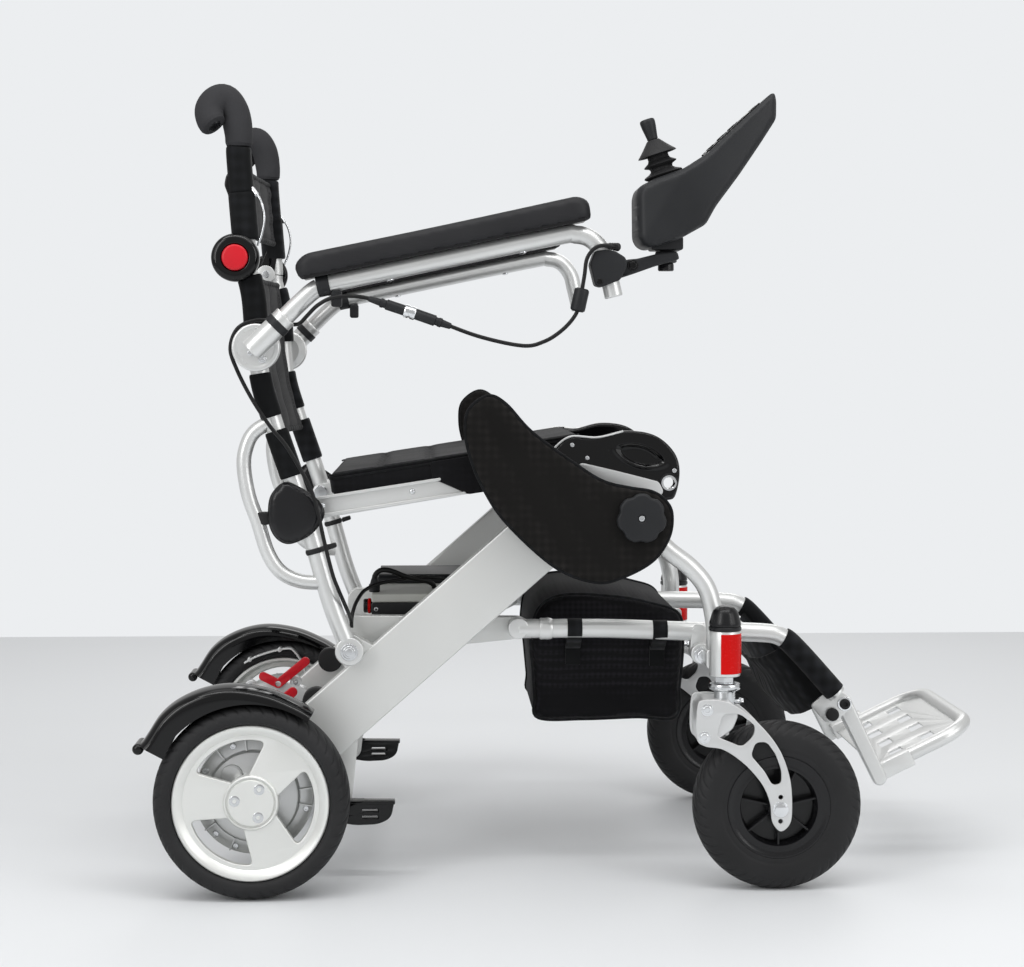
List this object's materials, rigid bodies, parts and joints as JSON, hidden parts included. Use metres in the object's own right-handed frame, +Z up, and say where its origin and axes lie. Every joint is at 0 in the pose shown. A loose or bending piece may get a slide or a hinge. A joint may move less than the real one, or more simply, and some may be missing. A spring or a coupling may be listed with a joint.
{
  "type": "folding power wheelchair",
  "caption": "Lightweight front-to-back folding power wheelchair with slanting side beams, hub-side motors, casters, flip-up armrests and a joystick controller on the right.",
  "frame": {"origin": "on the floor, under the middle of the chair's bounding box", "axes": "+X forward, the way the sitter faces; +Y to the sitter's left; +Z up"},
  "size_m": [0.9668, 0.585, 0.8932],
  "materials": {
    "silver_frame": "satin, painted silver",
    "gloss_black": "glossy",
    "matt_black": "fine matt grain",
    "black_fabric": "woven nylon",
    "black_rubber": "matt",
    "tyre": "matt",
    "red_plastic": "satin red"
  },
  "bodies": {
    "chassis": {"side_beam_right": "silver_frame", "side_beam_left": "silver_frame", "motor_right": "silver_frame", "motor_left": "silver_frame", "fender_right": "gloss_black", "fender_left": "gloss_black", "side_guard_right": "black_fabric", "side_guard_left": "black_fabric", "stand_bar": "matt_black"},
    "front_frame": {"front_leg_right": "silver_frame", "front_leg_left": "silver_frame", "hinge_plate_right": "gloss_black", "hinge_plate_left": "gloss_black", "front_axle": "silver_frame"},
    "leg_rest": {"leg_rest_frame": "silver_frame", "calf_strap": "black_fabric", "storage_bag": "black_fabric"},
    "foot_plate": {"footplate": "silver_frame"},
    "back": {"back_upright_right": "silver_frame", "back_upright_left": "silver_frame", "back_sling_lower": "black_fabric", "back_cable": "black_rubber"},
    "upper_back": {"back_post_right": "silver_frame", "back_post_left": "silver_frame", "push_grip_right": "black_rubber", "push_grip_left": "black_rubber", "back_sling_upper": "black_fabric"},
    "seat": {"seat_rail_right": "silver_frame", "seat_rail_left": "silver_frame", "seat_pad": "black_fabric"},
    "tray": {"battery_tray": "silver_frame", "control_box": "matt_black", "battery_pack": "matt_black", "tray_cable": "black_rubber"},
    "arm_right": {"armrest_right": "silver_frame", "arm_pad_right": "matt_black", "controller_bracket": "matt_black", "arm_cable": "black_rubber"},
    "arm_left": {"armrest_left": "silver_frame", "arm_pad_left": "matt_black"},
    "controller": {"controller_housing": "matt_black", "joystick_boot": "black_rubber"},
    "gimbal": {"stick_gimbal": "silver_frame"},
    "stick": {"joystick": "matt_black"},
    "power_button": {"power_key": "gloss_black"},
    "rear_wheel_right": {"rear_tyre_right": "tyre", "rear_rim_right": "silver_frame"},
    "fork_right": {"caster_fork_right": "silver_frame"},
    "caster_right": {"caster_wheel_right": "tyre"},
    "knob_right": {"guard_knob_right": "matt_black"},
    "lever_right": {"clutch_lever_right": "red_plastic"},
    "button_right": {"release_button_right": "red_plastic"},
    "rear_wheel_left": {"rear_tyre_left": "tyre", "rear_rim_left": "silver_frame"},
    "fork_left": {"caster_fork_left": "silver_frame"},
    "caster_left": {"caster_wheel_left": "tyre"},
    "knob_left": {"guard_knob_left": "matt_black"},
    "lever_left": {"clutch_lever_left": "red_plastic"},
    "button_left": {"release_button_left": "red_plastic"}
  },
  "joints": [
    {"name": "front_fold", "type": "hinge", "parent": "chassis", "child": "front_frame", "pos_m": [0.0727, 0, 0.416], "axis": [0, 1, 0], "range_deg": [0, 50]},
    {"name": "back_fold", "type": "hinge", "parent": "chassis", "child": "back", "pos_m": [-0.254, 0, 0.2655], "axis": [0, 1, 0], "range_deg": [0, 34]},
    {"name": "seat_fold", "type": "hinge", "parent": "back", "child": "seat", "pos_m": [-0.306, 0, 0.421], "axis": [0, 1, 0], "range_deg": [-49, 0]},
    {"name": "tray_fold", "type": "hinge", "parent": "chassis", "child": "tray", "pos_m": [-0.254, 0, 0.2655], "axis": [0, 1, 0], "range_deg": [-47, 0]},
    {"name": "leg_rest_fold", "type": "hinge", "parent": "front_frame", "child": "leg_rest", "pos_m": [0.147, 0, 0.2567], "axis": [0, 1, 0], "range_deg": [-7.5, 0]},
    {"name": "footplate_flip", "type": "hinge", "parent": "leg_rest", "child": "foot_plate", "pos_m": [0.3187, 0, 0.193], "axis": [0, -1, 0], "range_deg": [0, 100]},
    {"name": "half_back_fold", "type": "hinge", "parent": "back", "child": "upper_back", "pos_m": [-0.377, 0, 0.705], "axis": [0, -1, 0], "range_deg": [0, 120]},
    {"name": "controller_swivel", "type": "hinge", "parent": "arm_right", "child": "controller", "pos_m": [0.098, -0.244, 0.7122], "axis": [0, 0, 1], "range_deg": [0, 90]},
    {"name": "stick_fore_aft", "type": "hinge", "parent": "controller", "child": "gimbal", "pos_m": [0.09901, -0.24, 0.78546], "axis": [0, 1, 0], "range_deg": [-20, 20], "stiffness_Nm_per_rad": 0.05, "deforming": ["joystick_boot"]},
    {"name": "stick_sideways", "type": "hinge", "parent": "gimbal", "child": "stick", "pos_m": [0.09901, -0.24, 0.78546], "axis": [0.9537, 0, 0.3007], "range_deg": [-20, 20], "stiffness_Nm_per_rad": 0.05, "deforming": ["joystick_boot"]},
    {"name": "power_press", "type": "slide", "parent": "controller", "child": "power_button", "axis": [0.682, 0, -0.7314], "range_m": [0, 0.0015], "stiffness_N_per_m": 400},
    {"name": "rear_spin_right", "type": "hinge", "parent": "chassis", "child": "rear_wheel_right", "pos_m": [-0.36, -0.265, 0.108], "axis": [0, 1, 0], "continuous": true},
    {"name": "caster_swivel_right", "type": "hinge", "parent": "front_frame", "child": "fork_right", "pos_m": [0.166, -0.245, 0.24], "axis": [0, 0, 1], "continuous": true},
    {"name": "caster_spin_right", "type": "hinge", "parent": "fork_right", "child": "caster_right", "pos_m": [0.225, -0.245, 0.0945], "axis": [0, 1, 0], "continuous": true},
    {"name": "guard_knob_turn_right", "type": "hinge", "parent": "chassis", "child": "knob_right", "pos_m": [0.0727, -0.2343, 0.416], "axis": [0, 1, 0], "continuous": true},
    {"name": "clutch_right", "type": "hinge", "parent": "chassis", "child": "lever_right", "pos_m": [-0.3589, -0.126, 0.1772], "axis": [0, 1, 0], "range_deg": [0, 50]},
    {"name": "arm_flip_right", "type": "hinge", "parent": "back", "child": "arm_right", "pos_m": [-0.3535, -0.2505, 0.606], "axis": [0, -1, 0], "range_deg": [0, 95]},
    {"name": "release_press_right", "type": "slide", "parent": "back", "child": "button_right", "axis": [0, 1, 0], "range_m": [0, 0.004], "stiffness_N_per_m": 400},
    {"name": "rear_spin_left", "type": "hinge", "parent": "chassis", "child": "rear_wheel_left", "pos_m": [-0.36, 0.265, 0.108], "axis": [0, 1, 0], "continuous": true},
    {"name": "caster_swivel_left", "type": "hinge", "parent": "front_frame", "child": "fork_left", "pos_m": [0.166, 0.245, 0.24], "axis": [0, 0, 1], "continuous": true},
    {"name": "caster_spin_left", "type": "hinge", "parent": "fork_left", "child": "caster_left", "pos_m": [0.225, 0.245, 0.0945], "axis": [0, 1, 0], "continuous": true},
    {"name": "guard_knob_turn_left", "type": "hinge", "parent": "chassis", "child": "knob_left", "pos_m": [0.0727, 0.2343, 0.416], "axis": [0, 1, 0], "continuous": true},
    {"name": "clutch_left", "type": "hinge", "parent": "chassis", "child": "lever_left", "pos_m": [-0.3589, 0.126, 0.1772], "axis": [0, 1, 0], "range_deg": [0, 50]},
    {"name": "arm_flip_left", "type": "hinge", "parent": "back", "child": "arm_left", "pos_m": [-0.3535, 0.2505, 0.606], "axis": [0, -1, 0], "range_deg": [0, 95]},
    {"name": "release_press_left", "type": "slide", "parent": "back", "child": "button_left", "axis": [0, -1, 0], "range_m": [0, 0.004], "stiffness_N_per_m": 400}
  ],
  "couplings": [
    {"joint": "back_fold", "follows": "front_fold", "ratio": 0.6743},
    {"joint": "seat_fold", "follows": "front_fold", "ratio": -0.9731},
    {"joint": "tray_fold", "follows": "front_fold", "ratio": -0.9369},
    {"joint": "leg_rest_fold", "follows": "front_fold", "ratio": -0.1485}
  ]
}
